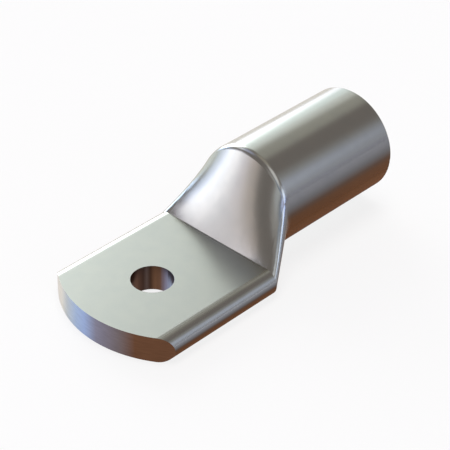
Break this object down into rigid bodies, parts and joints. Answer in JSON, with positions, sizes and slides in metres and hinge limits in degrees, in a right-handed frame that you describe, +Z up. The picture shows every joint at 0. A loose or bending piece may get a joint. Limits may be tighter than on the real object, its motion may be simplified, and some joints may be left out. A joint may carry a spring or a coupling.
{
  "type": "cable lug",
  "caption": "Aluminium cable lug: a round barrel with an open bore for a stranded conductor, pressed down to a flat palm with a bolt hole.",
  "frame": {"origin": "centre of the bolt hole on the palm's underside", "axes": "+X along the barrel's axis from the bolt hole towards the open mouth, +Z up through the palm, along the bolt hole; the X-Z plane is the plane of symmetry"},
  "size_m": [0.092, 0.04, 0.0289],
  "materials": {
    "aluminium": "satin, pickled"
  },
  "bodies": {
    "root": {"cable_lug": "aluminium"}
  },
  "joints": []
}
